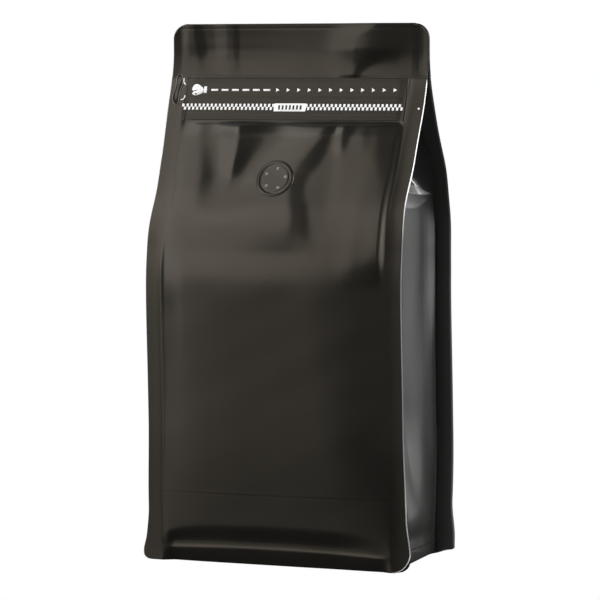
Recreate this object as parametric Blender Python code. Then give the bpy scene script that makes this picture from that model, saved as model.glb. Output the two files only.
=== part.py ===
"""Stand-up coffee pouch: a flat-bottom pouch of matte film, shut and full.

Frame: origin at the middle of the foot, +Z up, the front panel faces -Y. Metres.
"""

import math

import bmesh
import bpy
from mathutils import Matrix

# Driving dimensions of the pouch.
WIDTH = 0.135  # across the front panel, fin tip to fin tip
HEIGHT = 0.265
DEPTH = 0.075  # between the front and rear fins at the belly
FIN = 0.0080  # sealed edge that stands out at the two front corners
REAR_FIN = 0.0100  # and at the two rear ones
FIN_THICK = 0.0009
TOP_CORNER = 0.006  # radius of the upper corners
FOOT_CORNER = 0.007  # radius of the lower front corners
REAR_FOOT_CORNER = 0.0015

# Heights at which the pouch changes shape.
SHOULDER = 0.157  # the sides start to close in here
CLOSED = 0.250  # front and rear fins lie on each other from here up
TOP_HALF_DEPTH = 0.0011
FOOT_TUCK = 0.0042  # the foot is this much less deep on either side
TUCK_TOP = 0.066
FLARE = 0.0012  # the foot's corners stand out a little
FLARE_TOP = 0.020

# How far the filling pushes the panels out, and how flat the bulge is across.
BELLY = 0.0050
BELLY_HEIGHT = 0.115
BELLY_FLATNESS = 3.4
FOOT_BELLY = 0.16  # share of the bulge that is left at the ground
WAIST = 0.0010
WAIST_TOP = 0.220

# The side gussets are flat up to a roof-shaped fold, and fold in above it.
GUSSET_BELLY = 0.0025
GUSSET_FOLD = 0.0295
GUSSET_APEX = 0.190
GUSSET_FALL = 0.5  # drop of the fold for each metre away from the apex
GUSSET_LIP = 0.002  # the turn starts this far under the fold
GUSSET_TURN = 0.013

# Folds of the front panel: start and end (x, z), rise there, widths left and right.
FRONT_FOLDS = {
    "left step above the zipper": ((-0.0320, 0.2406), (-0.0330, 0.259), 0.0010, 0.0, 0.013, 0.004),
    "right facet above the zipper": ((0.0290, 0.2406), (0.0310, 0.258), 0.0019, 0.0, 0.020, 0.012),
    "left crease below the zipper": ((-0.0262, 0.2153), (-0.0170, 0.190), 0.0024, 0.0, 0.016, 0.0155),
    "right crest below the zipper": ((0.0250, 0.2153), (0.0265, 0.201), 0.0012, 0.0, 0.007, 0.006),
}
FOLD_FADE = 0.0010  # a fold dies out over this length past its start
FOLD_TAPER = 0.7  # its flanks narrow by this share towards its end
FOLD_CREST = 1.2  # near 1 the crest is sharp
SEAL_BLEND = 0.006  # the relief of a panel dies out over this width beside the seal

# The seam that joins the bottom runs across the foot in a low arch.
SEAM_HEIGHT = 0.0062
SEAM_ARCH = 0.0043
SEAM_RISE = 0.0010
SEAM_HALF = 0.0018
HOLLOW_DEPTH = 0.0023
HOLLOW_ABOVE_SEAM = 0.0052
HOLLOW_HALF = 0.0042

# The foot: a skirt round a flat pad, with a shallow groove between them.
GROOVE_DEPTH = 0.0035
GROOVE_START = 0.0028
GROOVE_CEILING_END = 0.0080
GROOVE_END = 0.0120
GROOVE_CORNER = 0.009
ARCH_RISE = 0.0028
ARCH_SPAN = 0.056
BELOW_GROUND = 0.001  # cutters start this far under the foot

# Fittings on the front panel. Heights are measured down from the top edge.
GAP = 0.0003  # clearance between neighbouring solids
ZIPPER_TOP = 0.0264
ZIPPER_HEIGHT = 0.0215
ZIPPER_THICK = 0.0008
ZIPPER_RIBS = 7
ZIPPER_RIB_RISE = 0.0003
ZIPPER_LEFT = -0.0585  # it runs from seal to seal
ZIPPER_RIGHT = 0.0585
VALVE_X = -0.0020
VALVE_DROP = 0.0754
VALVE_RADIUS = 0.0100
VALVE_DISC_RADIUS = 0.0078
VALVE_THICK = 0.0007
VALVE_RIM_RISE = 0.0004
VENT_CIRCLE = 0.0055
VENT_RADIUS = 0.0006
VENT_DEPTH = 0.0006
VENT_TURN = 0.6  # the first vent stands this share of a step past level
VENTS = 5
TAB_X = -0.0634  # the pull tab lies on the left seal
TAB_DROP = 0.0325
TAB_HEIGHT = 0.0150
TAB_WIDTH = 0.0060
TAB_THICK = 0.0005
TAB_WAIST = 0.62  # width at its middle, as a share of its lobes' width
TAB_BEND = 0.0005

FRONT_STEPS = 17  # faces from the middle of the front to its fin
BACK_STEPS = 9
GUSSET_STEPS = 6  # faces from a fin to the fold of the gusset
CORNER_STEPS = 4
VALVE_SIDES = 40


def smooth_step(value, start, end):
    """0 below start, 1 above end, and an even curve between them."""
    t = min(max((value - start) / (end - start), 0.0), 1.0)
    return t * t * (3 - 2 * t)


def half_depth(z):
    """Outer face of the front fin, measured from the middle of the pouch."""
    open_depth = DEPTH / 2 - FOOT_TUCK * (1 - smooth_step(z, 0.0, TUCK_TOP))
    closing = 1 - smooth_step(z, SHOULDER, CLOSED)
    return TOP_HALF_DEPTH + (open_depth - TOP_HALF_DEPTH) * closing


def corner_cut(z, foot_radius):
    """How much a rounded corner takes off the fin at this height."""
    for radius, past in ((TOP_CORNER, z - (HEIGHT - TOP_CORNER)), (foot_radius, foot_radius - z)):
        if past > 0:
            return radius - math.sqrt(max(radius**2 - past**2, 0.0))
    return 0.0


def side_line(z):
    """Edge of the uncut fin. The filled pouch draws in at the belly and flares at the foot."""
    waist = WAIST * math.sin(math.pi * min(z / WAIST_TOP, 1.0)) ** 2
    return WIDTH / 2 - waist + FLARE * (1 - smooth_step(z, FOOT_CORNER, FLARE_TOP))


def half_width(z, foot_radius=FOOT_CORNER):
    """Fin tip, with its corners rounded."""
    return side_line(z) - corner_cut(z, foot_radius)


def seal_line(z):
    """Inner edge of the front fin, where the panel leaves the seal."""
    return WIDTH / 2 - FIN - WAIST * math.sin(math.pi * min(z / WAIST_TOP, 1.0)) ** 2


def belly(x, z):
    """How far the filling pushes a panel out."""
    across = max(1 - abs(x / seal_line(z)) ** BELLY_FLATNESS, 0.0)
    if z < BELLY_HEIGHT:
        upright = FOOT_BELLY + (1 - FOOT_BELLY) * smooth_step(z, 0.0, BELLY_HEIGHT)
    else:
        upright = 1 - smooth_step(z, BELLY_HEIGHT, CLOSED)
    return BELLY * across * upright


def fold_rise(fold, x, z):
    """Height of one steep fold: a crest with a flank on either side."""
    (start_x, start_z), (end_x, end_z), rise_start, rise_end, left, right = fold
    share = (z - start_z) / (end_z - start_z)
    if share > 1:
        return 0.0
    before = min(share, 0.0) * abs(end_z - start_z)
    share = max(share, 0.0)
    side = x - (start_x + share * (end_x - start_x))
    flank = (right if side > 0 else left) * (1 - FOLD_TAPER * share)
    away = abs(side) / flank
    if away >= 1:
        return 0.0
    rise = rise_start + (rise_end - rise_start) * share
    return rise * math.exp(-((before / FOLD_FADE) ** 2)) * (1 - away) ** FOLD_CREST


def foot_relief(x, z):
    """The raised seam across the foot, and the hollow above it."""
    seam = SEAM_HEIGHT + SEAM_ARCH * max(1 - (x / seal_line(0.0)) ** 2, 0.0)
    ridge = SEAM_RISE * math.exp(-(((z - seam) / SEAM_HALF) ** 2))
    hollow = HOLLOW_DEPTH * math.exp(-(((z - seam - HOLLOW_ABOVE_SEAM) / HOLLOW_HALF) ** 2))
    return ridge - hollow


def inside_seal(x, z):
    """0 at the seal line and 1 a little way inside it."""
    return smooth_step(seal_line(z) - abs(x), 0.0, SEAL_BLEND)


def front_face(x, z):
    """Distance of the outer front surface in front of the middle plane."""
    relief = foot_relief(x, z) + sum(fold_rise(fold, x, z) for fold in FRONT_FOLDS.values())
    return half_depth(z) + belly(x, z) + relief * inside_seal(x, z)


def back_face(x, z):
    """Distance of the outer rear surface behind the middle plane."""
    return half_depth(z) + belly(x, z) + foot_relief(x, z) * inside_seal(x, z)


def gusset_face(y, z):
    """Outer surface of the right gusset: a V above the fold, a soft arch below."""
    reach = half_depth(z) - FIN_THICK
    across = min(abs(y) / reach, 1.0)
    opened = half_depth(z) / (DEPTH / 2)
    fold = GUSSET_FOLD * math.sqrt(max(1 - opened**2, 0.0)) * (1 - across)
    above = z - (GUSSET_APEX - GUSSET_FALL * abs(y))
    fold *= smooth_step(above, -GUSSET_LIP, GUSSET_TURN)
    arch = GUSSET_BELLY * smooth_step(z, FOOT_CORNER, TUCK_TOP)
    arch *= 1 - smooth_step(z, BELLY_HEIGHT, GUSSET_APEX - GUSSET_TURN)
    inset = (REAR_FIN - FIN) * (1 + y / reach) / 2  # the rear seal is wider
    return seal_line(z) - inset - fold + arch * (1 - across**2)


def section(z):
    """Points (x, y) of one level, anticlockwise from the middle of the front."""
    edge = seal_line(z)
    tip = half_width(z)
    rear_tip = half_width(z, REAR_FOOT_CORNER)
    fin_out, fin_in = half_depth(z), half_depth(z) - FIN_THICK
    right = []
    for step in range(FRONT_STEPS + 1):
        x = edge * step / FRONT_STEPS
        right.append((x, -front_face(x, z)))
    right += [(tip, -fin_out), (tip, -fin_in)]
    for step in range(2 * GUSSET_STEPS + 1):
        y = fin_in * (step / GUSSET_STEPS - 1)
        right.append((gusset_face(y, z), y))
    right += [(rear_tip, fin_in), (rear_tip, fin_out)]
    for step in range(BACK_STEPS + 1):
        x = edge * (1 - step / BACK_STEPS)
        right.append((x, back_face(x, z)))
    left = [(-x, y) for x, y in reversed(right[1:-1])]
    for step in range(1, FRONT_STEPS + 1):
        x = -edge * step / FRONT_STEPS
        left[-step] = (x, -front_face(x, z))
    return right + left


def steps_up(start, end, steps):
    """Even heights from just after start up to end."""
    return [start + (end - start) * step / steps for step in range(1, steps + 1)]


def levels():
    """Heights of the sections. One lies on each edge of the zipper."""
    foot_top = 0.024
    zipper_high = HEIGHT - ZIPPER_TOP
    zipper_low = zipper_high - ZIPPER_HEIGHT
    body_top = HEIGHT - TOP_CORNER
    turns = [math.pi / 2 * step / CORNER_STEPS for step in range(CORNER_STEPS + 1)]
    foot_corner = [FOOT_CORNER * (1 - math.cos(turn)) for turn in turns]
    top_corner = [body_top + TOP_CORNER * math.sin(turn) for turn in turns[1:]]
    return (
        foot_corner
        + steps_up(FOOT_CORNER, foot_top, 8)
        + steps_up(foot_top, SHOULDER, 9)
        + steps_up(SHOULDER, zipper_low, 11)
        + steps_up(zipper_low, zipper_high, 5)
        + steps_up(zipper_high, body_top, 5)
        + top_corner
    )


def material(name, color, roughness, metallic=0.0):
    made = bpy.data.materials.new(name)
    made.use_nodes = True
    shader = made.node_tree.nodes["Principled BSDF"]
    shader.inputs["Base Color"].default_value = (*color, 1.0)
    shader.inputs["Roughness"].default_value = roughness
    shader.inputs["Metallic"].default_value = metallic
    return made


def finish_object(name, mesh_builder, finish=None):
    """Turns a bmesh into a named object of the scene."""
    mesh = bpy.data.meshes.new(name)
    bmesh.ops.recalc_face_normals(mesh_builder, faces=mesh_builder.faces)
    mesh_builder.to_mesh(mesh)
    mesh_builder.free()
    made = bpy.data.objects.new(name, mesh)
    if finish:
        mesh.materials.append(finish)
    bpy.context.scene.collection.objects.link(made)
    return made


def hide_cutter(cutter):
    cutter.hide_render = True
    cutter.display_type = "WIRE"


def cut(body, cutter):
    hide_cutter(cutter)
    difference = body.modifiers.new("cut " + cutter.name, "BOOLEAN")
    difference.operation = "DIFFERENCE"
    difference.solver = "EXACT"
    difference.object = cutter


def smooth_shading(body, sharp_degrees):
    body.data.shade_smooth()
    body.data.set_sharp_from_angle(angle=math.radians(sharp_degrees))


def join_rings(builder, lower, upper):
    """A band of four-sided faces between two rings of equally many points."""
    count = len(lower)
    for here in range(count):
        there = (here + 1) % count
        builder.faces.new((lower[here], lower[there], upper[there], upper[here]))


def build_body(finish):
    """The closed pouch, lofted through its levels."""
    builder = bmesh.new()
    rings = [[builder.verts.new((x, y, z)) for x, y in section(z)] for z in levels()]
    for lower, upper in zip(rings, rings[1:]):
        join_rings(builder, lower, upper)
    builder.faces.new(rings[0])
    builder.faces.new(rings[-1])
    return finish_object("pouch", builder, finish)


def rounded_ring(builder, half_x, half_y, radius, z):
    """Points in the shape of a rounded rectangle."""
    ring = []
    for turn in range(4):
        middle_x = (half_x - radius) * (1 if turn in (0, 3) else -1)
        middle_y = (half_y - radius) * (1 if turn in (0, 1) else -1)
        for step in range(CORNER_STEPS + 1):
            angle = math.pi / 2 * (turn + step / CORNER_STEPS)
            x = middle_x + radius * math.cos(angle)
            y = middle_y + radius * math.sin(angle)
            ring.append(builder.verts.new((x, y, z)))
    return ring


def build_groove():
    """Cutter of the groove between the skirt and the pad of the foot."""
    half_x = seal_line(0.0)
    half_y = half_depth(0.0)
    builder = bmesh.new()
    rings = []
    for inset, z in (
        (GROOVE_START, -BELOW_GROUND),
        (GROOVE_START, GROOVE_DEPTH),
        (GROOVE_CEILING_END, GROOVE_DEPTH),
        (GROOVE_END, -BELOW_GROUND),
    ):
        radius = GROOVE_CORNER - inset / 2
        rings.append(rounded_ring(builder, half_x - inset, half_y - inset, radius, z))
    for lower, upper in zip(rings, rings[1:] + rings[:1]):
        join_rings(builder, lower, upper)
    return finish_object("foot_groove", builder)


def build_arch(side):
    """Cutter that lifts the lower edge of one side skirt off the ground."""
    builder = bmesh.new()
    steps = 11
    floor_z = -2 * BELOW_GROUND
    start_z = -BELOW_GROUND / 2  # the curve starts just below the ground
    outline = [(-ARCH_SPAN / 2, floor_z)]
    for step in range(steps + 1):
        y = ARCH_SPAN * (step / steps - 0.5)
        rise = (ARCH_RISE - start_z) * math.sin(math.pi * step / steps)
        outline.append((y, start_z + rise))
    outline.append((ARCH_SPAN / 2, floor_z))
    inner = side * (seal_line(0.0) - GROOVE_CEILING_END)
    outer = side * (WIDTH / 2 + FIN)
    face = builder.faces.new([builder.verts.new((inner, y, z)) for y, z in outline])
    walls = bmesh.ops.extrude_face_region(builder, geom=[face])
    moved = [item for item in walls["geom"] if isinstance(item, bmesh.types.BMVert)]
    bmesh.ops.translate(builder, verts=moved, vec=(outer - inner, 0, 0))
    return finish_object("foot_arch_right" if side > 0 else "foot_arch_left", builder)


def lay_on_front(point, height):
    """Moves a flat point (x, z) to a height above the front surface."""
    x, z = point
    return (x, -front_face(x, z) - height, z)


def close_slab(builder, thickness):
    """Gives the laid sheet its thickness, towards the pouch."""
    bmesh.ops.recalc_face_normals(builder, faces=builder.faces)
    outward = sum(face.normal.y for face in builder.faces)
    if outward > 0:
        bmesh.ops.reverse_faces(builder, faces=builder.faces)
    sheet = list(builder.faces)
    walls = bmesh.ops.extrude_face_region(builder, geom=sheet)
    moved = [item for item in walls["geom"] if isinstance(item, bmesh.types.BMVert)]
    bmesh.ops.translate(builder, verts=moved, vec=(0, -thickness, 0))
    bmesh.ops.recalc_face_normals(builder, faces=builder.faces)
    return moved


def build_zipper(finish):
    """The ribbed strip that runs across the front, from the pull tab to the right seal."""
    builder = bmesh.new()
    columns = 24
    rows = 2 * ZIPPER_RIBS
    lower_z = HEIGHT - ZIPPER_TOP - ZIPPER_HEIGHT
    bmesh.ops.create_grid(builder, x_segments=columns, y_segments=rows, size=1.0)
    for vert in builder.verts:
        z = lower_z + ZIPPER_HEIGHT * (vert.co.y + 1) / 2
        x = ZIPPER_LEFT + (ZIPPER_RIGHT - ZIPPER_LEFT) * (vert.co.x + 1) / 2
        vert.co = lay_on_front((x, z), GAP)
    for vert in close_slab(builder, ZIPPER_THICK):
        row = round((vert.co.z - lower_z) / ZIPPER_HEIGHT * rows)
        if row % 2 == 1:
            vert.co.y -= ZIPPER_RIB_RISE
    return finish_object("zipper", builder, finish)


def build_valve(finish):
    """Degassing valve: a disc with a raised rim, a raised button and five vents."""
    builder = bmesh.new()
    middle_z = HEIGHT - VALVE_DROP
    rise = front_face(VALVE_X, middle_z - VALVE_RADIUS) - front_face(VALVE_X, middle_z + VALVE_RADIUS)
    slope = rise / (2 * VALVE_RADIUS)
    lean = 1 / math.hypot(1.0, slope)  # a round valve on the leaning panel is this much lower
    profile = (
        (VALVE_RADIUS, 0.0),
        (VALVE_RADIUS - 0.0004, VALVE_RIM_RISE),
        (VALVE_RADIUS - 0.0012, VALVE_RIM_RISE),
        (VALVE_RADIUS - 0.0017, 0.0),
        (VALVE_DISC_RADIUS, 0.0),
        (VALVE_DISC_RADIUS - 0.0005, VALVE_RIM_RISE),
    )

    def place(radius, angle):
        return (VALVE_X + radius * math.cos(angle), middle_z + lean * radius * math.sin(angle))

    def ring(radius, height):
        angles = [2 * math.pi * step / VALVE_SIDES for step in range(VALVE_SIDES)]
        return [builder.verts.new(lay_on_front(place(radius, angle), height)) for angle in angles]

    rings = [ring(VALVE_RADIUS, GAP)]
    for radius, rise in profile:
        rings.append(ring(radius, GAP + VALVE_THICK + rise))
    for lower, upper in zip(rings, rings[1:]):
        join_rings(builder, lower, upper)
    builder.faces.new(rings[0])
    builder.faces.new(rings[-1])
    valve = finish_object("valve", builder, finish)
    for index in range(VENTS):
        angle = 2 * math.pi * (index + VENT_TURN) / VENTS
        builder = bmesh.new()
        bmesh.ops.create_cone(
            builder,
            cap_ends=True,
            segments=10,
            radius1=VENT_RADIUS,
            radius2=VENT_RADIUS,
            depth=2 * VENT_DEPTH,
        )
        bmesh.ops.rotate(builder, verts=builder.verts, matrix=Matrix.Rotation(math.pi / 2, 3, "X"))
        mouth = lay_on_front(place(VENT_CIRCLE, angle), GAP + VALVE_THICK + VALVE_RIM_RISE)
        bmesh.ops.translate(builder, verts=builder.verts, vec=mouth)
        cut(valve, finish_object(f"vent_{index + 1}", builder))
    return valve


def build_tab(finish):
    """The waisted pull tab on the left seal, beside the zipper."""
    builder = bmesh.new()
    around = 36
    middle_z = HEIGHT - TAB_DROP
    ring = []
    for step in range(around):
        angle = 2 * math.pi * step / around
        up = math.sin(angle)
        waist = TAB_WAIST + (1 - TAB_WAIST) * abs(up) ** 1.5
        bend = TAB_BEND * math.sin(math.pi * up)
        x = TAB_X + bend + TAB_WIDTH / 2 * waist * math.cos(angle) * (1.25 - 0.25 * abs(up))
        z = middle_z + TAB_HEIGHT / 2 * up
        ring.append(builder.verts.new(lay_on_front((x, z), GAP)))
    builder.faces.new(ring)
    bmesh.ops.triangulate(builder, faces=builder.faces)
    close_slab(builder, TAB_THICK)
    return finish_object("tear_tab", builder, finish)


def main():
    for leftover in list(bpy.data.objects):
        bpy.data.objects.remove(leftover, do_unlink=True)
    film = material("matte black film", (0.021, 0.019, 0.017), 0.48)
    strip = material("zipper strip", (0.024, 0.022, 0.020), 0.42)
    button = material("valve button", (0.028, 0.026, 0.024), 0.36)
    tab = material("pull tab film", (0.024, 0.022, 0.020), 0.42)
    body = build_body(film)
    cut(body, build_groove())
    for side in (1, -1):
        cut(body, build_arch(side))
    smooth_shading(body, 32)
    smooth_shading(build_zipper(strip), 25)
    smooth_shading(build_valve(button), 30)
    smooth_shading(build_tab(tab), 40)


main()
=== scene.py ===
import math

import bmesh
import bpy
import numpy as np
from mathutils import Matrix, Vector


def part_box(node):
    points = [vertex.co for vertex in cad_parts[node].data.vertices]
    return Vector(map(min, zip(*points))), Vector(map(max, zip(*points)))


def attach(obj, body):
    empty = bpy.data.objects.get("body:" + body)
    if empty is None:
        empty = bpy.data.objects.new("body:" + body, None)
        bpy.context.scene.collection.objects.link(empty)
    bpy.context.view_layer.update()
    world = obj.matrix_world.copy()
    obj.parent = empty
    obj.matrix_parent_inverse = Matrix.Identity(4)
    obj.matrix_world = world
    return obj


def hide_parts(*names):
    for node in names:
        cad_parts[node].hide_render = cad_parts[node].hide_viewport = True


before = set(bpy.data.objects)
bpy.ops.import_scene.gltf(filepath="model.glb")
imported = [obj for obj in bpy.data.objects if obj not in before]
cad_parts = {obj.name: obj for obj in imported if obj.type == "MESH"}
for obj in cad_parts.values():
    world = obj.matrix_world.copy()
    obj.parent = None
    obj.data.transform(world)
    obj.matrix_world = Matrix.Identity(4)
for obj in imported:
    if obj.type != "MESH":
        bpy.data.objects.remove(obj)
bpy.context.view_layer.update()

mm = 0.001
pouchLow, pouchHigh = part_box("pouch")
zipperLow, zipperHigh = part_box("zipper")
valveLow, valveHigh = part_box("valve")
tabLow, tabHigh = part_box("tear_tab")

# Heights and widths below are in mm, as a pouch maker would measure them on the filled pouch.
pouch = {
    "flare": 1.2,  # the solid's foot stands out this much past its fins
    "footFlare": 1.75,  # and the film's this much
    "flareFades": (7, 27),
    "waist": 1.0,  # a full pouch is a little narrower than a flat one
    "waistFrom": (25, 70),
    "waistTo": (200, 228),
    "pinch": 1.0,  # the fins draw in where the sides fold
    "pinchHeight": 180,
    "pinchReach": 13,
    "belly": 5.0,  # how far the filling pushes the panels out
    "bellyHeight": 115,
    "bellyFoot": 0.30,  # share of the bulge left at the ground
    "bellyFootTop": 80,
    "flatness": 3.4,
    "shoulder": 157,  # the sides start to close in here
    "closed": 251.5,  # and lie on each other from here up
    "curl": 0.45,  # the header leans forward this much at the top
    "curlFrom": 249,
    "shoulderTuck": 1.0,
    "tuckReach": 12,
    "topHalfDepth": 1.0,
    "footTuck": 4.2,
    "tuckTop": 66,
    "fin": 8.0,  # flat sealed edge at each upright corner
    "rearFin": 10.0,
    "finThick": 0.75,
    "finSweep": 0.48,  # the fins lean back towards their tips
    "finBend": 0.5,  # and more so close to the filling
    "bendFades": (200, 236),
    "leftBendLow": 0.3,  # the left fins bend less low down
    "leftBendGrows": (120, 165),
    "film": 0.3,
    "topCorner": (7.5, 7.5),  # across and up
    "footCorner": (9.5, 10),
    "flapCorner": (7.5, 5.5),  # the side film's front flap is squarer, and shows past the rounded fin
    "leftFootCorner": (3, 2.5),
    "leftFootFlare": 1.7,
    "leftFlareAt": (4, 5),  # height and reach
    "rearFootCorner": (1.5, 1.5),
    "rearFootRise": 0.4,  # the rear corners stand off the ground
    "rearTipRise": 2.4,
    "rearRiseTop": 60,
    "rearCurl": 1.4,
}
height = pouchHigh.z / mm
width = (pouchHigh.x - pouchLow.x) / mm - 2 * pouch["flare"]
openDepth = (pouchHigh.y - pouchLow.y) / mm / 2 - pouch["belly"] + 0.5


def smoothStep(value, start, end):
    t = min(max((value - start) / (end - start), 0.0), 1.0)
    return t * t * (3 - 2 * t)


def mix(a, b, t):
    return a + (b - a) * t


def bump(value, middle, reach):
    return math.exp(-((value - middle) / reach) ** 2)


def halfDepth(z):  # outer face of a fin, from the middle of the pouch
    opened = openDepth - pouch["footTuck"] * (1 - smoothStep(z, 0, pouch["tuckTop"]))
    closing = 1 - smoothStep(z, pouch["shoulder"], pouch["closed"])
    tuck = pouch["shoulderTuck"] * bump(z, pouch["shoulder"] + 3, pouch["tuckReach"])
    return mix(pouch["topHalfDepth"], opened, closing) - tuck


def curl(z):
    return pouch["curl"] * max((z - pouch["curlFrom"]) / (height - pouch["curlFrom"]), 0.0) ** 2


def cornerCut(z, footCorner):
    (topAcross, topUp), (footAcross, footUp) = pouch["topCorner"], footCorner
    for across, up, past in ((topAcross, topUp, z - height + topUp), (footAcross, footUp, footUp - z)):
        if past > 0:
            return across * (1 - math.sqrt(max(1 - (past / up) ** 2, 0.0)))
    return 0.0


def drawnIn(z):
    waist = pouch["waist"] * smoothStep(z, *pouch["waistFrom"]) * (1 - smoothStep(z, *pouch["waistTo"]))
    return waist + pouch["pinch"] * bump(z, pouch["pinchHeight"], pouch["pinchReach"])


def halfWidth(z, footCorner=pouch["footCorner"]):
    flare = pouch["footFlare"] * (1 - smoothStep(z, *pouch["flareFades"]))
    if footCorner == pouch["leftFootCorner"]:
        flare += pouch["leftFootFlare"] * bump(z, *pouch["leftFlareAt"])
    return width / 2 - drawnIn(z) + flare - cornerCut(z, footCorner)


def sealLine(z):
    return width / 2 - pouch["fin"] - drawnIn(z)


lowLean = {"by": 0.5, "at": 57, "reach": 25}
middleLean = {"by": -0.9, "from": 80, "to": 140}
shoulderLean = {"by": 1.85, "at": 189, "reach": 24}


def lean(z):  # a pouch set down by hand never stands quite straight
    low, middle, high = lowLean, middleLean, shoulderLean
    sway = low["by"] * bump(z, low["at"], low["reach"]) + high["by"] * bump(z, high["at"], high["reach"])
    return sway + middle["by"] * smoothStep(z, middle["from"], middle["to"])


def place(x, y, z):
    return Vector(((x + lean(z)) * mm, y * mm, z * mm))


def belly(x, z):
    across = max(1 - abs(x / sealLine(z)) ** pouch["flatness"], 0.0)
    if z < pouch["bellyHeight"]:
        foot = pouch["bellyFoot"]
        upright = foot + (1 - foot) * smoothStep(z, 0, pouch["bellyFootTop"])
    else:
        upright = 1 - smoothStep(z, pouch["bellyHeight"], pouch["closed"])
    return pouch["belly"] * across * upright


# Creases turn strips of film left or right. Each strip says how sudden its two sides are, as shares of its
# width, and then has rows from the top down: height, where it starts and ends across the panel, and how
# steeply it rises.
leftStrips = {
    "round": ((0.5, 0.3), [
        (216, -58, -47, 0.12), (204, -60, -47, 0.20), (186, -60, -47, 0.26), (165, -60, -49, 0.20),
        (145, -60, -50, 0.0)]),
    "hollow": ((0.4, 0.5), [
        (217, -50, -37, -0.14), (211, -50, -36.5, -0.22), (203, -48, -34, -0.33), (196, -47, -32, -0.42),
        (190, -46, -30, -0.44), (182, -46, -29, -0.26), (168, -46, -28, 0)]),
    "band": ((0.3, 0.9), [
        (217, -38, -26.3, 0.14), (211, -37, -25.2, 0.15), (203, -36.5, -25, 0.16), (195.5, -35.5, -26, 0.15),
        (191.5, -35, -27, 0.08), (184, -34, -28, 0.0)]),
    "wedge": ((0.06, 0.22), [
        (217, -26.4, 6, -0.44), (215, -26.2, 6, -0.48), (211, -25.2, 6, -0.52), (207.5, -25, 2, -0.52),
        (203.5, -25, -3.5, -0.52), (199.5, -25.3, -9, -0.54), (195.5, -25.8, -12.5, -0.54),
        (191.5, -26.2, -15.5, -0.42), (187.5, -26.5, -17, -0.18), (181, -26.5, -17, 0)]),
}
rightStrips = {
    "wall": ((0.4, 0.62), [
        (217, 20.6, 27.0, -0.26), (211, 17.6, 26.4, -0.32), (207.5, 15.0, 26, -0.32), (203.5, 11, 25.5, -0.32),
        (199.5, 7.5, 24, -0.31), (195.5, 4.5, 21.5, -0.31), (191.5, 3.2, 18, -0.30), (187.5, 3.4, 16.5, -0.28),
        (184, 3.8, 16.5, -0.26), (180, 4.8, 17.5, -0.25), (176.5, 6, 19.5, -0.24), (172, 7, 21, -0.21),
        (166, 6.5, 23, -0.16), (160, 5, 26, -0.07), (153, 3, 30, 0)]),
    "softSide": ((0.3, 0.4), [
        (206, 22, 31, 0), (200, 16, 31, -0.06), (195.5, 13, 31, -0.09), (187.5, 11, 30, -0.10), (180, 12, 30, -0.09),
        (172, 14, 31, -0.06), (163, 14, 31, -0.03), (154, 14, 31, 0)]),
    "rise": ((0.3, 0.4), [
        (217, 25, 31.5, 0.27), (211, 25, 31, 0.26), (204, 25, 31, 0.18), (199, 25, 34, 0.08), (160, 27, 38, 0.0)]),
    "wedge": ((0.2, 0.45), [
        (217, 30.0, 38, -0.32), (211, 29.0, 36.5, -0.32), (206, 29.0, 35.0, -0.20), (202, 29.0, 33.5, -0.08),
        (197, 29, 33, 0)]),
    "dimple": ((0.4, 0.5), [
        (216, 38, 46, -0.02), (212, 38.5, 46, -0.13), (207, 39, 46.5, -0.13), (202, 40, 47, 0)]),
    "turn": ((0.4, 0.95), [
        (217, 42, 62, -0.15), (210, 42, 62, -0.18), (203, 43, 62, -0.17), (196, 46, 62, -0.13), (189, 50, 62, -0.07),
        (182, 53, 62, -0.02), (176, 54, 62, 0)]),
}
edgeStrips = {
    "flank": ((0.5, 0.3), [
        (200, 30, 54, 0.02), (185, 30, 55, 0.07), (155, 30, 56, 0.09), (148, 30, 52, 0.07), (141, 30, 47, 0.03),
        (136, 30, 45, 0)]),
    "edgeLift": ((0.5, 0.9), [
        (190, 44, 61, 0), (183, 44, 61, 0.04), (176, 44, 61, 0.09), (158, 44, 61, 0.14), (151, 44, 58, 0.13),
        (145, 44, 55, 0.05), (140, 44, 52, 0)]),
}
headerLeftStrips = {  # above the zipper both films move together
    "leftTip": ((0.1, 0.8), [(264, -69, -62.5, -0.28), (240, -69, -62.5, -0.22)]),
    "leftRound": ((0.4, 0.4), [
        (264, -64, -57, 0.30), (255, -64, -57, 0.22), (247, -62, -55, 0.0), (240, -61, -52, 0.06)]),
    "dent": ((0.35, 0.5), [
        (264, -58, -49.5, -0.24), (258, -58, -47.5, -0.24), (252, -57.5, -46.5, -0.23), (247, -56.5, -48, -0.16),
        (243, -54.5, -48.5, -0.08), (239, -54, -48, 0)]),
    "leftFacet": ((0.5, 0.8), [
        (264, -48, -37, 0.30), (250, -48, -37, 0.27), (244, -48, -36, 0.12), (239, -48, -35, 0.02)]),
    "leftStep": ((0.55, 0.75), [
        (264, -37, -30.5, -0.16), (250, -37, -30.5, -0.18), (244, -36.5, -30, -0.14), (239, -36, -30, -0.06)]),
}
headerRightStrips = {
    "streak": ((0.5, 0.5), [(264, 0, 9, -0.03), (240, 0, 9, -0.04)]),
    "rightFacet": ((0.5, 0.96), [
        (264, 12, 42, 0.16), (259, 11, 33, 0.24), (252, 9, 31.5, 0.26), (246, 10, 30.5, 0.17),
        (239, 14, 29.5, 0.12)]),
    "rightShade": ((0.3, 0.5), [
        (264, 42, 62, -0.01), (258.5, 32.5, 61, -0.01), (255, 30.5, 58, -0.03), (250, 30, 53, -0.05),
        (246, 29.8, 45, -0.11), (242.5, 29.5, 38, -0.18), (239, 29, 34, -0.22)]),
    "rightRound": ((0.3, 0.8), [(256, 52, 60.5, 0.0), (251, 52, 60.5, 0.09), (244, 52, 60, 0.0)]),
    "rightTip": ((0.6, 0.95), [(264, 63, 70, 0.26), (250, 63, 70, 0.24), (240, 63, 70, 0.16)]),
}


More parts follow.
